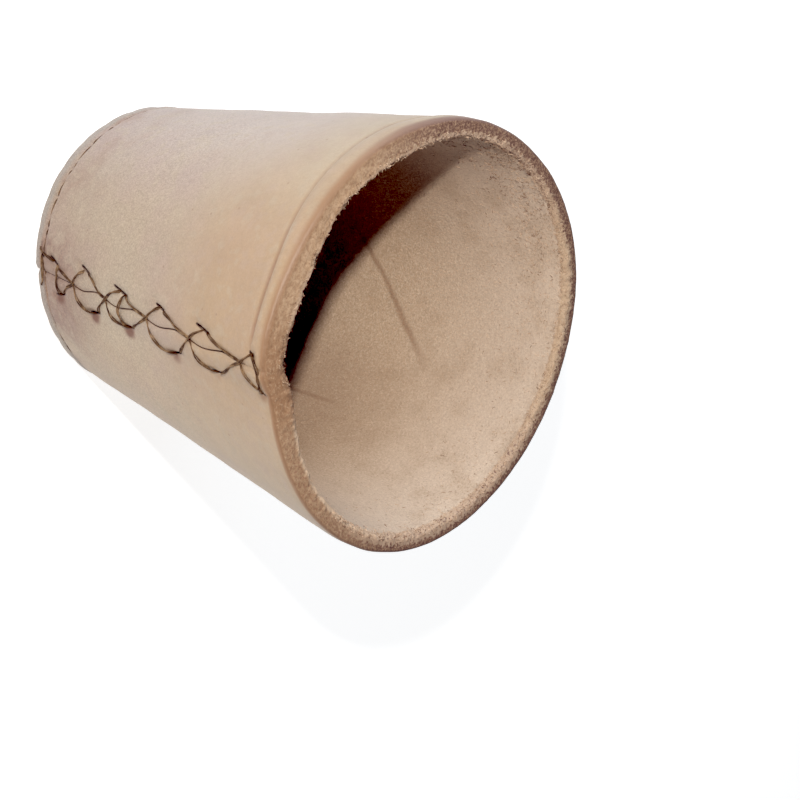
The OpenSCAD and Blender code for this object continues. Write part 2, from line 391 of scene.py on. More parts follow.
bm = bmesh.new()
for slit in LEFT_SLITS + RIGHT_SLITS:
    lean = math.atan2(slit.run.y, slit.run.x)
    awl(bm, slit.z, turn_at(slit.z, slit.along), slit.length, lean, WALL_T * 2.5)
lacing_awl = finished("lacing_awl", bm)
bm = bmesh.new()
for i in range(STITCHES):
    awl(bm, *stitch_place(i), STITCH_SLIT, STITCH_LEAN, WALL_T * 5)
foot_awl = finished("foot_awl", bm)
punched(punched(wall, lacing_awl), foot_awl)


def mark(piece, name, rule):
    """Gives every vertex of a piece a number that its material reads."""
    layer = piece.data.attributes.new(name, "FLOAT", "POINT")
    layer.data.foreach_set("value", [rule(v.co) for v in piece.data.vertices])


def place_on_wall(co):
    """Height, turn, and distance along the grain side of a point in the wall."""
    turn = math.atan2(co.x, -co.y)
    return co.z, turn, turn * mix(FOOT_R, MOUTH_R + RIDGE, co.z / HEIGHT)


def depth_in_wall(co):
    """0 on the grain side, 1 on the flesh side."""
    z, turn, _ = place_on_wall(co)
    return (face_radius(z, turn) - sunk(z, turn) - math.hypot(co.x, co.y)) / thickness(z, turn)


def awl_mark(co):
    """1 in an awl hole of the lacing, fading over the leather round it."""
    z, _, along = place_on_wall(co)
    near = [slit for slit in LEFT_SLITS + RIGHT_SLITS if abs(z - slit.z) < 4 * MM]
    return max([bell(slit.away(z, along), 0.32 * MM) for slit in near], default=0)


def joint_mark(co):
    """Signed distance from the joint's line on the grain side, in mm, up to 2."""
    z, _, along = place_on_wall(co)
    return min(max((along - joint_line(z)) / MM, -2), 2)


def wax_stain(co):
    """Where the thread's wax has run out of the holes on the +X side."""
    z, _, along = place_on_wall(co)
    stain = 0
    for slit, strength in zip(RIGHT_SLITS, (0.8, 0.9, 1, 0.6, 0.3, 0.4)):
        if abs(z - slit.z) < 4 * MM:
            up, side = (z - slit.z) / (1.5 * MM), (along - slit.along - 0.8 * MM) / (1.1 * MM)
            stain = max(stain, strength * bell(math.hypot(up, side), 1))
    return stain


mark(wall, "depth", depth_in_wall)
mark(wall, "awl", awl_mark)
mark(wall, "stain", wax_stain)
mark(wall, "joint", joint_mark)


class Wire:
    """One output of a shader node. Arithmetic on it adds Math nodes, and node() adds any other."""

    def __init__(self, tree, socket=None):
        self.tree, self.socket = tree, socket

    def node(self, kind, settings=(), inputs=(), output=0):
        """Adds a node, sets it, gives its sockets values or wires, and returns one of its outputs."""
        made = self.tree.nodes.new("ShaderNode" + kind)
        for key, value in dict(settings).items():
            if key == "stops":
                ramp = made.color_ramp
                while len(ramp.elements) < len(value):
                    ramp.elements.new(1)
                for element, (at, colour) in zip(ramp.elements, value):
                    element.position, element.color = at, colour
            else:
                setattr(made, key, value)
        for key, value in dict(inputs).items():
            if isinstance(value, Wire):
                self.tree.links.new(value.socket, made.inputs[key])
            else:
                made.inputs[key].default_value = value
        return Wire(self.tree, made.outputs[output])

    def maths(self, operation, *values):
        return self.node("Math", {"operation": operation}, enumerate(values))

    def __add__(self, other):
        return self.maths("ADD", self, other)

    def __sub__(self, other):
        return self.maths("SUBTRACT", self, other)

    def __rsub__(self, other):
        return self.maths("SUBTRACT", other, self)

    def __mul__(self, other):
        return self.maths("MULTIPLY", self, other)

    __radd__, __rmul__ = __add__, __mul__

    def size(self):
        """Its value without its sign."""
        return self.maths("ABSOLUTE", self)

    def step(self, low, high):
        """0 below low, 1 above high, and a soft step between."""
        return self.node(
            "MapRange",
            {"interpolation_type": "SMOOTHSTEP"},
            {"Value": self, "From Min": low, "From Max": high},
        )

    def blend(self, factor, other, mode="MIX"):
        """This colour, with another blended over it by factor."""
        return self.node(
            "Mix", {"data_type": "RGBA", "blend_type": mode}, {0: factor, 6: self, 7: other}, 2
        )


def rgb(red, green, blue):
    """A colour from its eight-bit display values."""
    return tuple(
        (v / 255 / 12.92 if v <= 10 else ((v / 255 + 0.055) / 1.055) ** 2.4) for v in (red, green, blue)
    ) + (1,)


def material(name):
    """A new material: itself, a wire to start from, its Object coordinates, and its shader node."""
    made = bpy.data.materials.new(name)
    made.use_nodes = True
    tree = made.node_tree
    start = Wire(tree)
    place = start.node("TexCoord", output=3)
    return made, start, place, tree.nodes["Principled BSDF"]


def pattern(place, size, detail, roughness=0.5, stretch=None):
    """Clouds of about that size in metres, around 0.5."""
    if stretch:
        place = place.node("Mapping", (), {0: place, 3: stretch})
    return place.node(
        "TexNoise",
        {"noise_dimensions": "3D"},
        {"Vector": place, "Scale": 1 / size, "Detail": detail, "Roughness": roughness},
    )


def plug(shader, **wires):
    """Joins wires to a shader's sockets, each named with _ for a space."""
    for name, wire in wires.items():
        wire.tree.links.new(wire.socket, shader.inputs[name.replace("_", " ")])


# The grain side's patches, its dull foot and edge, what has darkened it, a painted cool sheen and painted
# bounce light, and painted shade in the joint and the holes
ROSY, BUFF, PALE = rgb(160, 140, 124), rgb(161, 143, 122), rgb(163, 147, 126)
CHALKY_AND_SHEEN, TAN, PAINTED_BOUNCE_LIGHT = rgb(167, 154, 150), rgb(160, 133, 102), rgb(173, 152, 125)
DULL, EDGE_GREY, VEIN = rgb(137, 112, 95), rgb(150, 141, 131), rgb(110, 74, 50)
TANNED, WAXED = rgb(140, 107, 78), rgb(104, 64, 38)
JOINT_GAP_SHADE, HOLE_WAX_AND_SHADE = rgb(104, 72, 40), rgb(64, 40, 10)
# The cut edge, and its handled outer half and pale fuzz
CUT_DARK, CUT, CUT_LIGHT = rgb(164, 133, 103), rgb(181, 150, 119), rgb(195, 165, 135)
BROWN_CUT, JOINT_CUT, RED_CUT = rgb(158, 126, 96), rgb(146, 108, 74), rgb(134, 90, 70)
BURNISHED, PALE_FUZZ = rgb(110, 82, 70), rgb(190, 165, 143)
# The flesh side, its frayed lip, and painted shade low inside on the +X side
FLESH_DARK, FLESH, FLESH_LIGHT = rgb(178, 153, 125), rgb(195, 170, 142), rgb(219, 198, 173)
FLESH_RIM, FLESH_SHADE = rgb(215, 198, 182), rgb(166, 140, 115)
LIP, PALE_LIP = rgb(196, 165, 135), rgb(210, 182, 152)


def natural_leather():
    """Undyed leather: a smooth mottled grain side, an open cut edge, and a felted flesh side."""
    made, start, place, shader = material("natural_leather")
    depth, hole, stain, joint = (
        start.node("Attribute", {"attribute_name": name}, output=2)
        for name in ("depth", "awl", "stain", "joint")
    )
    x, y, z = (place.node("SeparateXYZ", (), {0: place}, i) for i in range(3))
    turn = x.maths("ARCTAN2", x, 0 - y)
    coarse = pattern(place, 17 * MM, 2)
    patchy = pattern(place, 6 * MM, 3, 0.6)
    blotches = pattern(place, 2.6 * MM, 2, 0.6)
    flecks = pattern(place, 1.2 * MM, 3, 0.6)
    fine = pattern(place, 0.3 * MM, 2, 0.8)
    near = 1 - turn.size().step(2.2, 3.1)

    # Grain side: rosy and buff patches, paler and cooler towards -X (partly the leather's tone, partly a
    # painted cool sheen), lighter towards +X (painted bounce light), dull at the foot from handling
    grain = start.node("ValToRGB", {"stops": [(0.36, ROSY), (0.5, BUFF), (0.64, PALE)]}, {0: coarse})
    # Paler, cooler colour towards -X: partly the leather's own tone, partly a painted cool sheen
    grain = grain.blend(0.6 * near * (0 - turn).step(0.4, 1.3) * (1 - z.step(46 * MM, 64 * MM)), CHALKY_AND_SHEEN)
    far_side = (0 - turn).step(0.4, 1.2)
    tan = 0.75 * z.step(34 * MM, 56 * MM) * (1 - turn.step(0.1, 0.9)) * (1 - 0.9 * far_side)
    grain = grain.blend(tan * near, TAN)
    # Painted bounce light: the +X side is painted lighter and warmer
    grain = grain.blend(0.6 * near * turn.step(0, 0.5), PAINTED_BOUNCE_LIGHT)
    worn = (1 - z.step(0, 26 * MM)) * (0.15 + 0.6 * patchy.step(0.4, 0.7))
    worn = worn + 0.8 * (1 - z.step(8 * MM, 24 * MM)) * (1 - (turn - 0.1).size().step(0.1, 0.5))
    grain = grain.blend(worn.maths("MINIMUM", worn, 1), DULL)
    grain = grain.blend(0.3 * blotches.step(0.5, 0.68), ROSY).blend(0.4 * blotches.step(0.48, 0.34), PALE)
    above_foot = z - FOOT_STEP * turn.step(-0.1, 0.1) * (1 - turn.step(0.4, 1.6))
    grain = grain.blend(0.8 * (1 - above_foot.step(1.4 * MM, 2.6 * MM)), EDGE_GREY)
    grainy = 0.25 + 0.8 * (1 - z.step(28 * MM, 52 * MM))
    shade = 0.85 + 0.15 * patchy + 0.15 * flecks + grainy * (fine - 0.5)
    grain = grain.blend(1.0, shade, "MULTIPLY")
    specks = start.node("TexVoronoi", (), {"Vector": place, "Scale": 1 / (3.6 * MM)})
    grain = grain.blend(0.35 * (1 - specks.step(0.03, 0.08)), VEIN)

    # The crease is dark, most of all beside the joint, and above it, around 60 degrees towards -X, a band
    # of painted shade reaches up to the rim
    above = z - (HEIGHT - CREASE_BELOW - 0.1 * MM) - CREASE_RISE * (0 - turn.size()).step(*CREASE_TURNS)
    # Painted shade: the leather between the crease and the rim is darkened near 60 degrees towards -X
    painted_shade_above_crease = above.step(0, 0.4 * MM) * (1 - (turn + 1.05).size().step(0.2, 0.45))
    grain = grain.blend(0.22 * painted_shade_above_crease, TANNED)
    crease = (1 - above.size().step(0, 0.55 * MM)) * ((0 - turn).step(0.05, 0.16) + turn.step(1.2, 1.9))
    dark = 0.25 + 0.2 * (1 - (0 - turn).step(0.45, 0.8))
    grain = grain.blend(crease * dark * (0.4 + 1.2 * flecks), VEIN)

    # Darker along the rim, partly burnished and partly painted shade over the rounded corner; burnished far
    # from the joint, waxed below the +X holes, and painted shade in the joint's gap
    left_side = (0 - turn).step(-0.1, 0.25)
    handled = turn.step(0.75, 1.5) + (0 - turn).step(0.9, 1.6)
    # Along the rim the grain side is painted darker: partly a burnished line, partly painted shade over the
    # corner's highlight
    burnish_and_corner_shade = z.step(HEIGHT - (0.9 + 0.6 * left_side) * MM, HEIGHT - 0.35 * MM)
    grain = grain.blend(0.85 * burnish_and_corner_shade, TANNED)
    grain = grain.blend(0.7 * handled * z.step(HEIGHT - 1.7 * MM, HEIGHT - 0.9 * MM), BURNISHED)
    grain = grain.blend(0.9 * (stain * (0.5 + 1.0 * flecks)).step(0.05, 0.8), WAXED)
    first, last = CROSSINGS[0], CROSSINGS[-1]
    laced = z.step(first, first + 1 * MM) * (1 - z.step(last - 1 * MM, last))
    # Painted shade: a dark line along the joint's gap, strongest where it is laced
    joint_gap_shade_mask = (1 - joint.size().step(0.05, 0.2)) * (1 - turn.size().step(0.2, 0.3))
    grain = grain.blend(joint_gap_shade_mask * (0.08 + 0.8 * laced), JOINT_GAP_SHADE)

    # Cut edge: mottled fibres, browner towards +X and at the joint. Far from the joint its outer half
    # is dark from handling and its inner half is pale fuzz.
    mottle = pattern(place, 0.8 * MM, 4, 0.7)
    fuzz = pattern(place, 0.4 * MM, 4, 0.8)
    tufts = pattern(place, 0.6 * MM, 4, 0.8)
    cut = start.node("ValToRGB", {"stops": [(0.34, CUT_DARK), (0.5, CUT), (0.66, CUT_LIGHT)]}, {0: mottle})
    cut = cut.blend(0.5 * near * turn.step(-0.25, 0.1), BROWN_CUT)
    cut = cut.blend(0.5 * (1 - (turn - 0.04).size().step(0.12, 0.36)), JOINT_CUT)
    cut = cut.blend((0.15 + 0.3 * turn.step(0.1, 0.6)) * fuzz.step(0.49, 0.43), RED_CUT)
    cut = cut.blend(0.5 * near * tufts.step(0.54, 0.6), CUT_LIGHT)
    top_side = 1 - (turn + 1.9).size().step(0.65, 1.0)
    back = turn.size().step(2.2, 2.9)
    outer_half = depth - 0.24 * top_side - 0.1 * back + 0.9 * (tufts - 0.5) + 0.8 * (flecks - 0.5)
    outer_half = 1 - outer_half.step(0.32, 0.54)
    cut = cut.blend(0.75 * handled * (1 - outer_half), PALE_FUZZ)
    cut = cut.blend(0.7 * back * (1 - outer_half), FLESH)
    cut = cut.blend(handled * outer_half * (0.6 * fuzz.step(0.62, 0.42) + 0.3), BURNISHED)
    # The cut edge's outer rim is painted darker: partly a burnished line, partly painted shade over the
    # corner's highlight
    cut_burnish_and_shade = 1 - (depth + 0.06 * (fuzz - 0.5)).step(0.05, 0.11 + 0.19 * left_side)
    cut = cut.blend(0.75 * cut_burnish_and_shade * (1 - handled), TANNED)

    # Flesh side: a felt of fine fibres with a frayed lip, pits at the rim and two veins
    nap = pattern(place, 0.32 * MM, 3, 0.75)
    stops = [(0.3, FLESH_DARK), (0.5, FLESH), (0.7, FLESH_LIGHT)]
    flesh = start.node("ValToRGB", {"stops": stops}, {0: nap})
    flesh = flesh.blend(0.5 * z.step(30 * MM, 64 * MM), FLESH_RIM)
    flesh = flesh.blend(0.35 * patchy.step(0.45, 0.7), FLESH_DARK)
    lip = (z + 0.9 * MM * (fuzz - 0.5)).step(HEIGHT - 1.5 * MM, HEIGHT - 0.8 * MM)
    flesh = flesh.blend(0.85 * lip, LIP).blend(0.8 * lip * near * turn.step(0.15, 0.4), PALE_LIP)
    flesh = flesh.blend(0.75 * lip * handled * (1 - back), PALE_FUZZ)
    flesh = flesh.blend(0.8 * lip * back, FLESH)
    flesh = flesh.blend(lip * (1 - (turn - 0.05).size().step(0.15, 0.35)), cut)
    flesh = flesh.blend(0.8 * lip * handled * (1 - 0.6 * back) * fuzz.step(0.48, 0.42), BURNISHED)
    # Painted shade: the flesh side is darker low down around 110 degrees towards +X
    painted_shade_inside = (1 - (turn - 1.9).size().step(0.3, 1.0)) * (1 - z.step(26 * MM, 54 * MM))
    flesh = flesh.blend(0.6 * painted_shade_inside, FLESH_SHADE)
    for stretch in ((1, 1, 4), (4, 4, 1)):
        hair = pattern(place, 0.5 * MM, 1, 0.5, stretch)
        flesh = flesh.blend(0.6 * hair.step(0.66, 0.74), FLESH_LIGHT)
        flesh = flesh.blend(0.4 * hair.step(0.3, 0.24), VEIN)
    scuffed = (1 - (turn + 2.3).size().step(0.1, 0.5)) * z.step(57 * MM, 66 * MM)
    pit = (fuzz * (0.8 + 0.4 * patchy)).step(0.54, 0.64)
    flesh = flesh.blend((0.12 + 0.15 * z.step(45 * MM, 66 * MM) + 0.6 * scuffed) * pit, VEIN)
    # The veins' turns in degrees, as curves over the height in mm: a long one, and a short one in front
    degrees = (turn + math.tau).maths("MODULO", turn + math.tau, math.tau) * (180 / math.pi)
    up = z * (1 / MM)
    long_turn = 186 - 2.76 * (up - 29.7) + 0.045 * (up - 29.7) * (up - 35.5)
    long_vein = (1 - (degrees - long_turn + 5 * (patchy - 0.5)).size().step(0.2, 3.2)) * up.step(26, 29)
    short_vein = 1 - (degrees - 119 - 0.3 * (up - 24.7)).size().step(0.3, 1.6)
    short_vein = short_vein * up.step(22, 24) * (1 - up.step(31, 35))
    flesh = flesh.blend((0.5 * long_vein + 0.35 * short_vein) * (1 - up.step(40, 47)), TANNED)

    is_cut = (depth + 0.1 * (tufts - 0.5)).step(0.05, 0.15)
    is_flesh = (depth + 0.35 * (tufts - 0.5)).step(0.66, 0.82)
    colour = grain.blend(is_cut, cut).blend(is_flesh, flesh)
    # The awl holes and their walls are painted dark: partly the thread's wax, partly painted shade in the
    # cut
    colour = colour.blend(hole.step(0.4, 0.9), HOLE_WAX_AND_SHADE)

    relief = 0.04 * MM * patchy + 0.03 * MM * flecks + 0.015 * MM * fine
    relief = relief + is_cut * 0.14 * MM * mottle + is_flesh * 0.04 * MM * nap
    bump = start.node("Bump", (), {"Height": relief, "Distance": 1.0})
    plug(shader, Base_Color=colour, Roughness=0.5 + 0.35 * is_cut, Normal=bump)
    shader.inputs["Specular IOR Level"].default_value = 0.4
    return made


wall.data.materials.append(natural_leather())
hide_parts("wall")
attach(wall, "root")

# Loose fibres. The knife pulled up fibres of the flesh round the mouth's inner lip, but for a clean
# stretch at the front of the +X side, and more lie flat on the flesh side below it. They are the wall's
# own leather.
LIP_FIBRES, LIP_FIBRE_R = 1500, 0.06 * MM
FLAT_FIBRES, FLAT_FIBRE_R = 1300, 0.055 * MM
CLEAN_LIP = (0.1, 0.9)
random.seed(11)
lip_line = [(d, z) for d, z in section if d > WALL_T * 0.6 and z > HEIGHT - 1.4 * MM]


def fibre(bm, depth, z, turn, lift, length, thick):
    """Adds one fibre that leans out of the wall by about the lift, in any direction along it."""
    z, depth = squarer_lip(z, turn, depth)
    root = wall_point(z, turn, depth)
    inwards = Vector((-math.sin(turn), math.cos(turn), 0))
    aim = Vector([random.gauss(0, 1) for _ in range(3)])
    aim -= inwards * aim.dot(inwards)
    aim = (aim.normalized() + inwards * lift).normalized()
    turned = aim.to_track_quat("Z", "Y").to_matrix().to_4x4()
    bmesh.ops.create_cone(
        bm, cap_ends=True, segments=4, radius1=thick, radius2=thick / 3, depth=length,
        matrix=Matrix.Translation(root + aim * length * 0.35 + inwards * thick * 0.5) @ turned,
    )


bm = bmesh.new()
for _ in range(LIP_FIBRES):
    depth, z = random.choice(lip_line)
    turn = random.choice((random.uniform(-math.pi, CLEAN_LIP[0]), random.uniform(CLEAN_LIP[1], math.pi)))
    fibre(bm, depth, z, turn, random.uniform(0.3, 1.2), random.uniform(0.25, 0.5) * MM, LIP_FIBRE_R)
for _ in range(FLAT_FIBRES):
    z = HEIGHT - LIP_R - abs(random.gauss(0, 7)) * MM
    turn = random.choice((random.uniform(-math.pi, math.pi), random.gauss(-2.4, 0.5)))
    fibre(bm, WALL_T, z, turn, random.uniform(0.05, 0.35), random.uniform(0.25, 0.7) * MM, FLAT_FIBRE_R)
fibres = finished("rim_fibres", bm)
made, start, place, shader = material("leather_fibres")
along_lip = pattern(place, 1.6 * MM, 2)
stops = [(0.36, rgb(128, 98, 72)), (0.46, rgb(178, 149, 121)), (0.6, rgb(208, 182, 155))]
colour = start.node("ValToRGB", {"stops": stops}, {0: along_lip})
plug(shader, Base_Color=colour)
shader.inputs["Roughness"].default_value = 0.85
fibres.data.materials.append(made)
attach(fibres, "root")

# Base. A leather disc moulded wet over a block, so that its rim turns down inside the wall. The rim's
# cut edge stands level with the wall's at the foot.
BASE_T = 2.8 * MM
FLOOR_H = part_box("base")[1].z
BEND_R = 3.4 * MM
BASE_GAP = 0.1 * MM
MIDDLE_R = 0.3 * MM


def base_radius(z, depth):
    """Radius inside the base's rim at a height, depth below its outer side, which faces the wall."""
    return mix(FOOT_R, MOUTH_R, z / HEIGHT) - WALL_T - BASE_GAP - depth


def upper_side():
    """The base's upper side as (radius, height): out from the middle, round the bend and down."""
    bend_end = FLOOR_H - BEND_R
    top = [(r, FLOOR_H) for r in spaced(MIDDLE_R, base_radius(FLOOR_H, 0) - BEND_R, 1.2 * MM)]
    bend = [
        (base_radius(bend_end, 0) - BEND_R * (1 - math.sin(t)), FLOOR_H - BEND_R * (1 - math.cos(t)))
        for t in [i * math.pi / 16 for i in range(9)]
    ]
    down = [(base_radius(z, 0), z) for z in spaced(bend_end, 0.4 * MM, -0.5 * MM)[1:]]
    return top + bend + down


# The under side lies one thickness of leather inside the upper side
profile = upper_side()
normals = []
for i, (r, z) in enumerate(profile):
    a, b = profile[max(i - 1, 0)], profile[min(i + 1, len(profile) - 1)]
    run = Vector((b[0] - a[0], b[1] - a[1])).normalized()
    normals.append((run.y, -run.x))
under = [(r + n[0] * BASE_T, z + n[1] * BASE_T) for (r, z), n in zip(profile, normals)]
under = [(max(r, MIDDLE_R), z) for r, z in under]
cut_edge = [(mix(profile[-1][0], under[-1][0], t), 0) for t in (0.12, 0.3, 0.5, 0.7, 0.88)]
loop = [(0, FLOOR_H)] + profile + cut_edge + under[::-1] + [(0, FLOOR_H - BASE_T)]
bm = bmesh.new()
ring = [bm.verts.new((r, 0, z)) for r, z in loop]
edges = [bm.edges.new(pair) for pair in zip(ring, ring[1:])]
bmesh.ops.spin(
    bm, geom=ring + edges, cent=(0, 0, 0), axis=(0, 0, 1), dvec=(0, 0, 0),
    angle=math.tau, steps=180, use_merge=True,
)
bmesh.ops.remove_doubles(bm, verts=bm.verts, dist=0.01 * MM)
for v in bm.verts:
    place = v.co.copy()
    turn = math.atan2(place.x, -place.y)
    v.co.xy *= 1 + foot_swell(place.z, turn) / (FOOT_R - WALL_T)
    v.co.z += 0.25 * MM * noise.noise(place / (9 * MM)) * smooth(0.5 * MM, 3 * MM, place.z)
    in_rim = smooth(14 * MM, 19 * MM, place.xy.length)
    v.co.z += foot_rise(place.z, abs(turn)) * smooth(-0.25, 0.25, turn) * in_rim
bmesh.ops.recalc_face_normals(bm, faces=bm.faces)
base = punched(finished("base_leather", bm), foot_awl)
for punch in (lacing_awl, foot_awl):
    bpy.data.objects.remove(punch)


def depth_in_base(co):
    """1 on the flesh side, which faces up and the wall, 0.5 on the cut edge, 0 on the under side."""
    turn = math.atan2(co.x, -co.y)
    r = math.hypot(co.x, co.y) - foot_swell(co.z, turn)
    above = co.z > FLOOR_H - BASE_T / 2 and r < base_radius(FLOOR_H, BASE_T)
    outside = r > base_radius(co.z, BASE_T / 2)
    return 1.0 if above or outside else 0.5 if co.z < 0.1 * MM + foot_rise(0, abs(turn)) else 0.0


mark(base, "depth", depth_in_base)
mark(base, "awl", lambda co: 0)
mark(base, "stain", lambda co: 0)
mark(base, "joint", lambda co: 2)
base.data.materials.append(wall.data.materials[0])
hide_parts("base")
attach(base, "root")

# Lacing thread. Waxed linen of two plies, sewn with a needle at each end: a bar over the first pair of
# holes, crosses over the joint, one more bar at the third pair, short stitches inside, and a bar under
# the rim.
PLY_R, PLY_APART = 0.115 * MM, 0.14 * MM
# The length of one turn of the plies, and the step between two points of the thread
LACING_LAY, LACING_STEP = 11 * MM, 0.25 * MM
# How far the thread's middle lies off the leather, and how deep its ends go into a hole
LIFT = 0.13 * MM
DIVE, INSIDE_DIVE = 1.3 * MM, 1 * MM


def on_grain(z, along, lift):
    """A point of a strand over the grain side, lifted off it, or in the leather if lift is negative."""
    turn = turn_at(z, along)
    r = face_radius(z, turn) - sunk(z, turn) + lift
    return Vector((r * math.sin(turn), -r * math.cos(turn), z))


def smooth_line(points, step):
    """A smooth line that goes through the points, with a point about every step."""
    line = []
    ends = [points[0] * 2 - points[1]] + points + [points[-1] * 2 - points[-2]]
    for a, b, c, d in zip(ends, ends[1:], ends[2:], ends[3:]):
        count = max(1, round((c - b).length / step))
        for i in range(count):
            t = i / count
            bend = (2 * a - 5 * b + 4 * c - d) * t + (3 * b - a - 3 * c + d) * t * t
            line.append(b + 0.5 * t * (c - a + bend))
    return line + [points[-1]]


def plies(line, lay, phase):
    """The two plies of a thread that follows the line, one turn round each other every lay."""
    walk, normal = 0, line[0].normalized()
    strands = [[], []]
    for i, point in enumerate(line):
        along = (line[min(i + 1, len(line) - 1)] - line[max(i - 1, 0)]).normalized()
        normal = (normal - along * normal.dot(along)).normalized()
        walk += (point - line[max(i - 1, 0)]).length
        angle = phase + math.tau * walk / lay
        off = PLY_APART * (math.cos(angle) * normal + math.sin(angle) * along.cross(normal))
        strands[0].append(point + off)
        strands[1].append(point - off)
    return strands


def sewn(name, strands):
    """A piece made of tubes along the strands, as one mesh."""
    curve = bpy.data.curves.new(name, "CURVE")
    curve.dimensions = "3D"
    curve.bevel_depth, curve.bevel_resolution, curve.use_fill_caps = PLY_R, 2, True
    for strand in strands:
        spline = curve.splines.new("POLY")
        spline.points.add(len(strand) - 1)
        for point, place in zip(spline.points, strand):
            point.co = (*place, 1)
    tube = bpy.data.objects.new(name, curve)
    bpy.context.collection.objects.link(tube)
    graph = bpy.context.evaluated_depsgraph_get()
    mesh = bpy.data.meshes.new_from_object(tube.evaluated_get(graph))
    bpy.data.objects.remove(tube)
    mesh.polygons.foreach_set("use_smooth", [True] * len(mesh.polygons))
    made = bpy.data.objects.new(name, mesh)
    bpy.context.collection.objects.link(made)
    return made


# How the strands leave the left and the right hole of each pair for the crossing above it, and how
# they reach the holes of the next pair, as (height, along) in mm on the grain side
LEAVE_LEFT = [
    [(8.2, -1.9), (10.4, -1.3)],
    [(18.3, -2.8), (20.1, -2.2), (22.3, -0.5)],
    [(30.4, -2.1), (31.6, -1.3), (33.4, -0.7)],
    [(41.7, -2.3), (43.8, -1.8), (46.0, -0.9)],
    [(54.2, -2.1), (57.2, -1.1), (60.2, -0.5)],
]
LEAVE_RIGHT = [
    [(10.3, 2.2), (11.7, 0.8)],
    [(21.2, 2.8), (22.1, 1.6)],
    [(31.7, 2.7), (33.3, 1.8)],
    [(45.4, 3.2), (47.3, 1.7)],
    [(56.6, 3.4), (58.4, 2.6), (60.9, 0.9)],
]
REACH_LEFT = [
    [(15.0, -1.9), (16.6, -2.8)],
    [(26.3, -1.7), (28.2, -2.3)],
    [(38.6, -1.7), (40.0, -2.5)],
    [(50.7, -1.2), (52.4, -2.1)],
    [(64.1, -0.9), (65.4, -1.8)],
]
REACH_RIGHT = [
    [(14.8, 2.1), (16.9, 3.4), (19.4, 3.4)],
    [(25.6, 2.3), (27.8, 3.0), (30.2, 3.0)],
    [(37.9, 2.4), (40.3, 4.0), (43.6, 3.8)],
    [(50.9, 2.4), (52.9, 3.4), (55.0, 3.7)],
    [(64.3, 1.3), (66.4, 3.2)],
]


def over_joint(leave, crossing, reach, lift):
    """One strand from a hole, over the joint at a crossing and into a hole of the next pair."""
    places = [(z * MM, along * MM) for z, along in leave + reach]
    line = [on_grain(*place, LIFT) for place in places]
    line.insert(len(leave), on_grain(crossing, 0, lift))
    first = on_grain(places[0][0] - 0.3 * MM, places[0][1], -DIVE)
    last = on_grain(places[-1][0] + 0.3 * MM, places[-1][1], -DIVE)
    return [first] + line + [last]


def on_flesh(z, along, lift):
    """A point of a strand over the flesh side, lifted off it towards the cup's axis."""
    turn = turn_at(z, along)
    return wall_point(z, turn, WALL_T) + Vector((-math.sin(turn), math.cos(turn), 0)) * lift


def inside_stitch(start, end):
    """A short stitch over the joint on the flesh side, between the two holes of a pair."""
    middle = (start.z + end.z) / 2
    return [
        on_flesh(start.z, start.along, -INSIDE_DIVE),
        on_flesh(start.z, start.along * 0.9, LIFT * 1.5),
        on_flesh(middle, 0, LIFT * 1.5),
        on_flesh(end.z, end.along * 0.9, LIFT * 1.5),
        on_flesh(end.z, end.along, -INSIDE_DIVE),
    ]


def bar(places, lift=LIFT):
    """A stitch straight over the joint, through the given (height, along) in mm."""
    line = [on_grain(z * MM, along * MM, lift) for z, along in places]
    ends = [on_grain(z * MM, along * MM, -DIVE) for z, along in (places[0], places[-1])]
    return ends[:1] + line + ends[1:]


lines = []
for i, crossing in enumerate(CROSSINGS):
    lines.append(over_joint(LEAVE_LEFT[i], crossing, REACH_RIGHT[i], LIFT))
    lines.append(over_joint(LEAVE_RIGHT[i], crossing, REACH_LEFT[i], LIFT + 2 * PLY_R))
for left, right in zip(LEFT_SLITS, RIGHT_SLITS):
    lines += [inside_stitch(left, right), inside_stitch(right, left)]
lines += [
    bar([(8.6, -1.7), (8.0, -0.3), (8.3, 1.3), (9.0, 2.6)]),
    bar([(29.9, -2.0), (29.1, -0.7), (28.4, 1.1), (29.4, 2.9)], LIFT * 2),
    bar([(65.9, -1.9), (66.9, -1.1), (67.4, 0.3), (67.4, 1.8), (67.1, 3.5)]),
]
strands = []
for k, line in enumerate(lines):
    strands += plies(smooth_line(line, LACING_STEP), LACING_LAY, k * 1.3 + 1.2)
lacing = sewn("lacing_thread", strands)


def waxed_thread():
    """Brown waxed linen, darker where it goes into an awl hole: partly pressed wax, partly painted shade.
    """
    made, start, place, shader = material("waxed_linen")
    pressed_and_shaded = start.node("Attribute", {"attribute_name": "awl"}, output=2)
    shade = pattern(place, 1.5 * MM, 3, 0.6)
    stops = [(0.35, rgb(76, 55, 36)), (0.5, rgb(106, 83, 58)), (0.65, rgb(142, 116, 86))]
    colour = start.node("ValToRGB", {"stops": stops}, {0: shade})
    # Painted shade, with pressed wax: the thread is darker in and near the awl holes
    colour = colour.blend(0.8 * pressed_and_shaded.step(0.3, 0.95), rgb(72, 46, 18))
    lint = pattern(place, 0.15 * MM, 2)
    bump = start.node("Bump", (), {"Height": 0.02 * MM * lint, "Distance": 1.0})
    plug(shader, Base_Color=colour, Normal=bump)
    shader.inputs["Roughness"].default_value = 0.75
    shader.inputs["Specular IOR Level"].default_value = 0.15
    return made


mark(lacing, "awl", awl_mark)
lacing.data.materials.append(waxed_thread())
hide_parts("seam_thread")
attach(lacing, "root")

# Foot thread. It goes round the foot twice, over and under by turns, through the wall and the base's
# rim, so that it fills each step on both sides. Its end runs up to the first lacing holes.
FOOT_LAY, FOOT_LINE_STEP = 9 * MM, 0.35 * MM


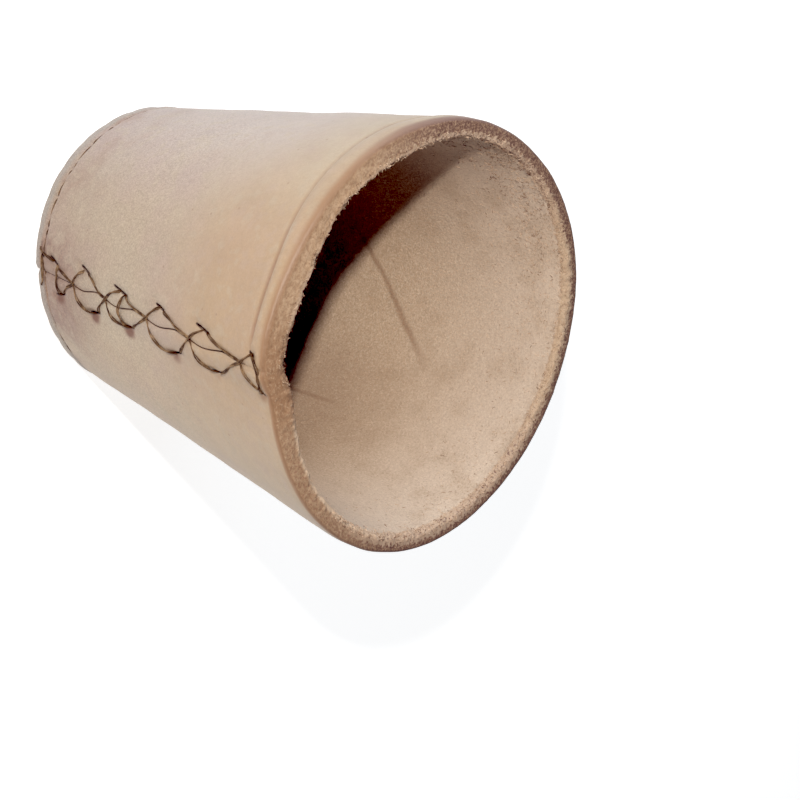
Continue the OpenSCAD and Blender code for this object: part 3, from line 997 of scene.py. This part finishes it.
def foot_point(i, share, radius):
    """A point between stitch hole i and the next, at a share of the way and a radius."""
    z1, t1 = stitch_place(i)
    z2, t2 = stitch_place(i + 1)
    if i == STITCHES - 1:
        z2, t2 = stitch_place(0)[0], stitch_place(0)[1] - math.tau
    turn = mix(t1, t2, share)
    r = radius + foot_swell(STITCH_H, turn)
    return Vector((r * math.sin(turn), -r * math.cos(turn), mix(z1, z2, share)))


# One stitch outside and one inside, as (share of the way to the next hole, radius)
over = mix(FOOT_R, MOUTH_R, STITCH_H / HEIGHT) - 0.4 * MM
inner = base_radius(STITCH_H, BASE_T) - 0.2 * MM
outside = [(0.03, over - 1.3 * MM), (0.08, over - 0.1 * MM), (0.3, over), (0.7, over)]
outside += [(0.92, over - 0.1 * MM), (0.97, over - 1.3 * MM)]
inside = [(0.03, inner + 1.2 * MM), (0.1, inner), (0.5, inner), (0.9, inner), (0.97, inner + 1.2 * MM)]
strands = []
for i in range(STITCHES):
    for stitch in (outside, inside):
        line = [foot_point(i, share, radius) for share, radius in stitch]
        strands += plies(smooth_line(line, FOOT_LINE_STEP), FOOT_LAY, i * 1.7)
# The end that runs up to the lacing, and the stretch over the joint
tails = [
    [(2.2, -3.6), (3.4, -3.0), (5.0, -2.7), (6.6, -2.4)],
    [(2.6, -2.6), (3.2, -0.6), (3.4, 1.2), (2.6, 2.4)],
]
for places in tails:
    strands += plies(smooth_line(bar(places), 0.3 * MM), FOOT_LAY, 0.4)
foot_line = sewn("foot_thread_sewn", strands)
mark(foot_line, "awl", awl_mark)
foot_line.data.materials.append(lacing.data.materials[0])
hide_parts("foot_thread")
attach(foot_line, "root")

# Studio. A plain pale floor, one small key lamp just above the camera, as the photograph's own shadow
# inside the mouth shows, and two large soft lights: a cool one from its top, a weak one from below.
FLOOR_R = 1.5
KEY_UP, KEY_RIGHT, KEY_SIZE = 60 * MM, 2.5 * MM, 12 * MM
bm = bmesh.new()
bmesh.ops.create_circle(bm, cap_ends=True, segments=96, radius=FLOOR_R)
floor = finished("floor", bm)
made, _, _, shader = material("pale_floor")
shader.inputs["Base Color"].default_value = (0.5, 0.5, 0.5, 1)
shader.inputs["Roughness"].default_value = 0.8
shader.inputs["Emission Color"].default_value = (1, 1, 1, 1)
shader.inputs["Emission Strength"].default_value = 0.82
floor.data.materials.append(made)


def lamp(name, place, target, width, height, power, colour):
    """A flat lamp at a place, turned to a target."""
    light = bpy.data.lights.new(name, "AREA")
    light.shape, light.size, light.size_y = "RECTANGLE", width, height
    light.energy, light.color = power, colour
    made = bpy.data.objects.new(name, light)
    made.location = place
    made.rotation_mode = "QUATERNION"
    made.rotation_quaternion = (place - target).to_track_quat("Z", "Y")
    bpy.context.collection.objects.link(made)


middle = Vector((0, 0, HEIGHT / 2))
photo_right, photo_up = (camera.rotation_quaternion @ Vector(axis) for axis in ((1, 0, 0), (0, 1, 0)))
key_place = CAMERA_AT + photo_up * KEY_UP + photo_right * KEY_RIGHT
lamp("key", key_place, middle, KEY_SIZE, KEY_SIZE, 1.12, (1, 0.98, 0.95))
lamp("overhead", Vector((-0.5, 0.2, 0.2)), middle, 0.5, 0.35, 2.2, (0.78, 0.88, 1))
lamp("below", Vector((0.5, -0.25, 0.12)), middle, 0.4, 0.4, 1.4, (1, 0.98, 0.96))
world = bpy.data.worlds.new("studio")
world.use_nodes = True
world.node_tree.nodes["Background"].inputs["Color"].default_value = (1, 1, 1, 1)
world.node_tree.nodes["Background"].inputs["Strength"].default_value = 0.05
bpy.context.scene.world = world
# Deep shadows go black, as in the photograph
view = bpy.context.scene.view_settings
view.view_transform = "Standard"
view.use_curve_mapping = True
view.curve_mapping.black_level = (0.045, 0.04, 0.022)
view.curve_mapping.update()
